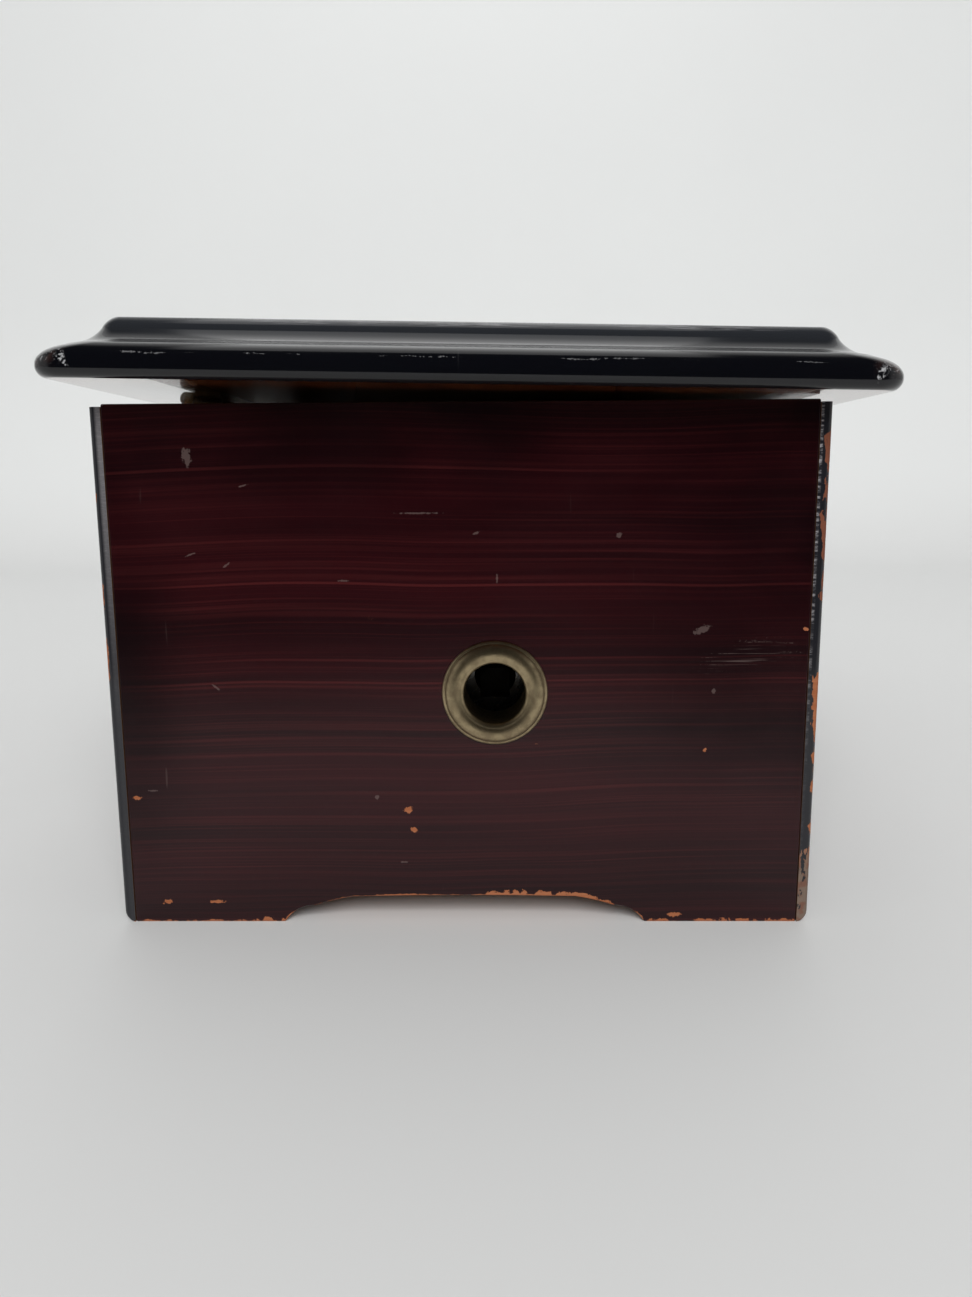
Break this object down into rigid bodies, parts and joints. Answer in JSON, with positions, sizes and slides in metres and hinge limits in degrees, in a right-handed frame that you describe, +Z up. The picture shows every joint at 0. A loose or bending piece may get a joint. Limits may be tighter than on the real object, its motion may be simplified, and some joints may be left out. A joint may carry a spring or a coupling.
{
  "type": "wind-up music box",
  "caption": "Grain-painted wooden box with a moulded hinged lid and brass winding hole, holding a pinned-cylinder musical movement with comb, spring barrel and air-brake governor.",
  "frame": {"origin": "on the ground under the middle of the box's bounds", "axes": "+X along the case away from the winding end, +Y to the hinged back, +Z up"},
  "size_m": [0.364, 0.1791, 0.1368],
  "materials": {
    "grained_wood": "glossy aged varnish over painted graining",
    "lid_lacquer": "worn glossy black lacquer",
    "lid_veneer": "varnished",
    "bare_wood": "unfinished",
    "aged_brass": "aged, dull",
    "movement_brass": "polished",
    "steel": "polished",
    "bed_paint": "bronze paint",
    "lead": "dull"
  },
  "bodies": {
    "case": {"base_board": "bare_wood", "front_panel": "grained_wood", "back_panel": "grained_wood", "left_end_panel": "grained_wood", "right_end_panel": "grained_wood", "glue_blocks": "bare_wood", "winding_ferrule": "aged_brass", "hinge_lower_leaves": "movement_brass", "hinge_pins": "steel", "hinge_screws_case": "steel", "bedplate": "bed_paint", "bedplate_screws": "steel", "foot_screws": "steel", "barrel_bridge_left": "movement_brass", "barrel_bridge_right": "movement_brass", "cylinder_bearing_left": "movement_brass", "cylinder_bearing_right": "movement_brass", "click_screw": "steel", "comb": "steel", "comb_base": "bed_paint", "comb_screws": "steel", "comb_weights": "lead", "governor_plate_inner": "movement_brass", "governor_plate_outer": "movement_brass", "governor_pillars": "movement_brass", "governor_cock": "movement_brass", "governor_step": "movement_brass", "lever_studs": "steel"},
    "lid": {"lid_board": "lid_lacquer", "lid_veneer": "lid_veneer", "hinge_upper_leaves": "movement_brass", "hinge_screws_lid": "steel"},
    "arbor": {"winding_arbor": "steel", "ratchet_wheel": "steel"},
    "barrel": {"barrel_drum": "movement_brass", "barrel_cover": "movement_brass", "barrel_wheel": "movement_brass", "mainspring": "steel"},
    "cylinder": {"cylinder_tube": "movement_brass", "cylinder_caps": "movement_brass", "cylinder_arbor": "steel", "cylinder_pinion": "steel", "cylinder_wheel": "movement_brass", "cylinder_pins": "steel"},
    "second": {"second_arbor": "steel", "second_pinion": "steel", "second_wheel": "movement_brass"},
    "third": {"third_arbor": "steel", "third_pinion": "steel", "worm_wheel": "movement_brass"},
    "fly": {"endless_screw": "steel", "fly_wings": "movement_brass"},
    "click": {"click": "steel"},
    "start_lever": {"start_lever": "steel"},
    "change_lever": {"change_lever": "steel"}
  },
  "joints": [
    {"name": "lid_hinge", "type": "hinge", "parent": "case", "child": "lid", "pos_m": [0, 0.0826, 0.12085], "axis": [-1, 0, 0], "range_deg": [0, 105]},
    {"name": "winding_spin", "type": "hinge", "parent": "case", "child": "arbor", "pos_m": [-0.15, -0.0054, 0.0548], "axis": [1, 0, 0], "continuous": true},
    {"name": "cylinder_spin", "type": "hinge", "parent": "case", "child": "cylinder", "pos_m": [0, 0.02648, 0.052], "axis": [1, 0, 0], "continuous": true},
    {"name": "barrel_spin", "type": "hinge", "parent": "case", "child": "barrel", "pos_m": [-0.11, -0.0054, 0.0548], "axis": [1, 0, 0], "continuous": true},
    {"name": "second_spin", "type": "hinge", "parent": "case", "child": "second", "pos_m": [0.1, 0.00636, 0.04262], "axis": [1, 0, 0], "continuous": true},
    {"name": "third_spin", "type": "hinge", "parent": "case", "child": "third", "pos_m": [0.1, -0.00639, 0.04603], "axis": [1, 0, 0], "continuous": true},
    {"name": "fly_spin", "type": "hinge", "parent": "case", "child": "fly", "pos_m": [0.1064, -0.01599, 0.06], "axis": [0, 0, 1], "continuous": true},
    {"name": "click_pivot", "type": "hinge", "parent": "case", "child": "click", "pos_m": [-0.148, 0.00839, 0.06637], "axis": [-1, 0, 0], "range_deg": [0, 8], "stiffness_Nm_per_rad": 0.02},
    {"name": "start_lever_pivot", "type": "hinge", "parent": "case", "child": "start_lever", "pos_m": [0.1, -0.044, 0.034], "axis": [0, 0, -1], "range_deg": [0, 12]},
    {"name": "change_lever_pivot", "type": "hinge", "parent": "case", "child": "change_lever", "pos_m": [0.1, 0.044, 0.034], "axis": [0, 0, 1], "range_deg": [0, 12]}
  ],
  "couplings": [
    {"joint": "barrel_spin", "follows": "cylinder_spin", "ratio": -0.33333},
    {"joint": "second_spin", "follows": "cylinder_spin", "ratio": -6.4},
    {"joint": "third_spin", "follows": "cylinder_spin", "ratio": 32},
    {"joint": "fly_spin", "follows": "cylinder_spin", "ratio": 768}
  ]
}
